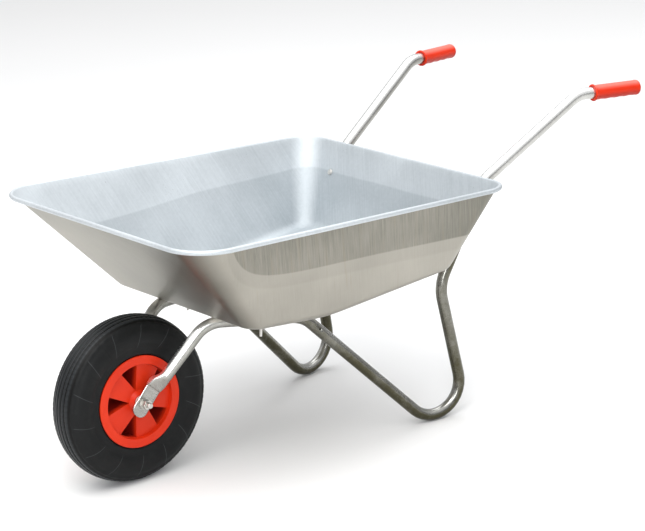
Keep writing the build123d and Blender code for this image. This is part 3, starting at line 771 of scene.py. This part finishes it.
def tyre_profile():
    """Half of the tyre's outline from the middle of the tread to the bead, in millimetres.

    Each point also says what it is: a rib top, a groove, the shoulder, the sidewall or the bead.
    """
    points = [(0.0, tread_radius(0) - GROOVE_DEPTH, "groove")]
    for rib in range(HALF_RIBS):
        start = rib * RIB_PITCH + RIB_GROOVE
        end = (rib + 1) * RIB_PITCH - RIB_GROOVE
        for x in (start, start + 0.7, (start + end) / 2, end - 0.7, end):
            drop = 0.5 if x in (start, end) else 0.0
            points.append((x, tread_radius(x) - drop, "rib"))
        bottom = (rib + 1) * RIB_PITCH
        if rib < HALF_RIBS - 1:
            points += [(bottom - 0.9, tread_radius(bottom) - GROOVE_DEPTH, "groove"),
                       (bottom + 0.9, tread_radius(bottom) - GROOVE_DEPTH, "groove")]
    points += [(28.2, 165.2, "groove"), (29.2, 164.6, "groove"), (30.6, 164.3, "shoulder"),
               (32.6, 162.2, "shoulder"), (34.2, 160.0, "shoulder")]
    side = arc(Vector((10.0, 132.5)), Vector((34.6, 157.6)), Vector((42.3, 134.0)), 5)
    side += arc(Vector((-2.0, 133.5)), Vector((42.4, 132.0)), Vector((38.4, 115.0)), 5)
    for p in side:
        points.append((p.x, p.y, "side"))
    points += [(37.6, 108.0, "side"), (37.9, 103.0, "ring"), (37.4, 100.2, "ring"),
               (36.2, 99.0, "bead"), (33.8, 97.2, "bead"), (33.6, 90.0, "bead"),
               (33.6, 84.6, "bead"), (27.0, 84.6, "bead"), (29.0, 100.0, "inner"),
               (36.0, 134.0, "inner"), (30.5, 154.0, "inner"), (17.5, 165.0, "inner"),
               (0.0, 168.3, "inner")]
    return points


def tyre_relief(kind, x, radius, column):
    """Raised or cut detail, in millimetres, at one point of the tyre."""
    turn = column / TYRE_COLUMNS
    if kind == "rib" and abs(x) > 8:
        return -0.55 if column % NOTCH_EVERY == 0 else 0.0
    if kind == "shoulder":
        return 0.35 if column % (2 * NOTCH_EVERY) < NOTCH_EVERY else -0.25
    if kind == "side":
        line = (column + round(7 * sin(tau * turn * 3))) % LINE_EVERY == 0
        return 0.3 if line and 116 < radius < 156 else 0.0
    return 0.0


def make_tyre():
    """The tyre: six ribs with notched edges, mould lines on the sidewalls and beads in the rim."""
    half = tyre_profile()
    outer = [p for p in half if p[2] != "inner"]
    inner = [p for p in half if p[2] == "inner"]
    profile = [(-x, r, kind) for x, r, kind in reversed(outer[1:])] + outer
    profile += inner + [(-x, r, kind) for x, r, kind in reversed(inner[:-1])]
    rows = []
    for column in range(TYRE_COLUMNS):
        turn = tau * column / TYRE_COLUMNS
        outwards = Vector((0, cos(turn), sin(turn)))
        row = []
        for x, radius, kind in profile:
            relief = tyre_relief(kind, x, radius, column)
            sideways = relief if kind == "side" else 0.0
            lift = 0.0 if kind == "side" else relief
            spread = x + (sideways if x > 0 else -sideways)
            row.append(axle + Vector((spread * MM, 0, 0)) + outwards * (radius + lift) * MM)
        rows.append(row)
    points, faces = grid(rows, closed_along=True)
    tyre = face_outwards(add_piece("tyre_carcass", points, faces, [RUBBER]))
    return finish_piece(tyre, "wheel", "tyre_rubber", "tyre")


# ---------------------------------------------------------------- refined CAD pieces
SHARP_ANGLE = radians(32)


def refined(node, name, body, slot, material, edge):
    """A piece made from a CAD node, with its sharp edges rounded off by edge millimetres."""
    shape = bmesh.new()
    shape.from_mesh(frame["nodes"][node].data)
    bmesh.ops.remove_doubles(shape, verts=shape.verts, dist=2e-6)
    bmesh.ops.dissolve_limit(shape, angle_limit=radians(0.3), verts=shape.verts, edges=shape.edges)
    mesh = bpy.data.meshes.new(name)
    shape.to_mesh(mesh)
    shape.free()
    mesh.materials.append(material)
    mesh.polygons.foreach_set("use_smooth", [True] * len(mesh.polygons))
    piece = bpy.data.objects.new(name, mesh)
    SCENE.collection.objects.link(piece)
    bevel = piece.modifiers.new("edges", "BEVEL")
    bevel.width = edge * MM
    bevel.segments = 2
    bevel.limit_method = "ANGLE"
    bevel.angle_limit = SHARP_ANGLE
    piece.modifiers.new("shading", "WEIGHTED_NORMAL")
    settle(piece)
    return finish_piece(piece, body, slot, node)


def paint(node, material):
    """Gives a CAD node a material."""
    mesh = frame["nodes"][node].data
    mesh.materials.clear()
    mesh.materials.append(material)


# ---------------------------------------------------------------- stage
def add_camera():
    """The camera: in front of the wheel, to the left of the barrow and a little above it."""
    azimuth, elevation, roll = radians(52.35), radians(17.42), radians(-3.83)
    distance, focal_share = 5.4173, 3.7993
    target = axle + Vector((-0.1210, 0.6078, 0.1071))
    back = Vector((sin(azimuth) * cos(elevation), -cos(azimuth) * cos(elevation), sin(elevation)))
    right = Vector((cos(azimuth), sin(azimuth), 0))
    up = back.cross(right)
    rolled_right = right * cos(roll) + up * sin(roll)
    rolled_up = up * cos(roll) - right * sin(roll)
    data = bpy.data.cameras.new("camera")
    data.sensor_width = 36.0
    data.lens = data.sensor_width * focal_share
    data.shift_x, data.shift_y = 0.0028, 0.0004
    data.clip_end = 100.0
    camera = bpy.data.objects.new("camera", data)
    turned = Matrix((rolled_right, rolled_up, back)).transposed()
    camera.matrix_world = Matrix.Translation(target + back * distance) @ turned.to_4x4()
    SCENE.collection.objects.link(camera)
    bpy.context.scene.camera = camera


def add_floor():
    """A plain pale floor."""
    g = Graph("floor")
    tone = g.noise(0.8, 2.0)
    colour = g.mix(tone, rgb(0.86, 0.86, 0.86), rgb(0.90, 0.90, 0.90))
    material = g.surface(colour, 0.9)
    reach = 30.0
    corners = [Vector((x, y, 0)) * reach for x, y in ((-1, -1), (1, -1), (1, 1), (-1, 1))]
    add_piece("floor", corners, [(0, 1, 2, 3)], [material])


def add_light(name, spot, towards, width, height, power, colour):
    """A soft rectangular light that faces a point."""
    data = bpy.data.lights.new(name, "AREA")
    data.shape = "RECTANGLE"
    data.size, data.size_y = width, height
    data.energy = power
    data.color = colour
    light = bpy.data.objects.new(name, data)
    light.location = spot
    light.rotation_mode = "QUATERNION"
    light.rotation_quaternion = (Vector(towards) - Vector(spot)).to_track_quat("-Z", "Y")
    SCENE.collection.objects.link(light)


def add_world():
    """Soft surroundings, bright overhead and dimmer towards the horizon."""
    world = bpy.data.worlds.new("studio")
    world.use_nodes = True
    tree = world.node_tree
    place_node = tree.nodes.new("ShaderNodeTexCoord")
    split = tree.nodes.new("ShaderNodeSeparateXYZ")
    tree.links.new(place_node.outputs["Generated"], split.inputs[0])
    ramp = tree.nodes.new("ShaderNodeValToRGB")
    tree.links.new(split.outputs["Z"], ramp.inputs["Fac"])
    stops = ramp.color_ramp.elements
    stops[0].position, stops[0].color = 0.0, (0.30, 0.29, 0.28, 1)
    stops[1].position, stops[1].color = 0.75, (1.0, 1.0, 1.0, 1)
    middle = stops.new(0.25)
    middle.color = (0.55, 0.56, 0.58, 1)
    background = tree.nodes["Background"]
    tree.links.new(ramp.outputs["Color"], background.inputs["Color"])
    background.inputs["Strength"].default_value = 0.9
    SCENE.world = world


# ---------------------------------------------------------------- assembly
add_camera()
add_world()
add_floor()
add_light("key", (1.0, -1.8, 3.8), (0, 0, 0.3), 2.8, 2.8, 122, (1.0, 0.99, 0.97))
add_light("top", (-0.6, 1.2, 3.6), (0, 0.2, 0.3), 3.6, 3.0, 75, (0.97, 0.985, 1.0))
add_light("side", (3.2, -2.2, 1.7), (0, 0, 0.3), 0.8, 2.6, 52, (0.97, 0.985, 1.0))
SCENE.view_settings.view_transform = "Standard"

make_tray()
make_tube(1, "frame_tube_left")
make_tube(-1, "frame_tube_right")
make_grip(1, "grip_left")
make_grip(-1, "grip_right")
make_tyre()
refined("wheel_rim", "wheel_ring_moulded", "wheel", "rim_plastic", RIM_RED, 0.7)
refined("wheel_disc", "wheel_disc_moulded", "wheel", "rim_plastic", RIM_RED, 0.5)
refined("valve_cap", "valve_cap_black", "wheel", "cap_plastic", CAP, 0.2)
for node in ("axle_bolt", "axle_nut", "axle_washers"):
    refined(node, node + "_plated", "frame", "zinc_fastener", FASTENER, 0.5)
for group in ("front_tray", "rear_tray"):
    for kind in ("bolts", "washers", "nuts"):
        node = f"{group}_{kind}"
        refined(node, node + "_plated", "frame", "zinc_fastener", FASTENER, 0.25)
refined("axle_spacers", "axle_spacers_moulded", "frame", "spacer_plastic", SPACER, 0.4)
refined("hub_bushes", "hub_bushes_moulded", "wheel", "bush_plastic", NYLON, 0.3)
paint("rim_wire", WIRE)
paint("inner_tube", BUTYL)
paint("valve_stem", VALVE)
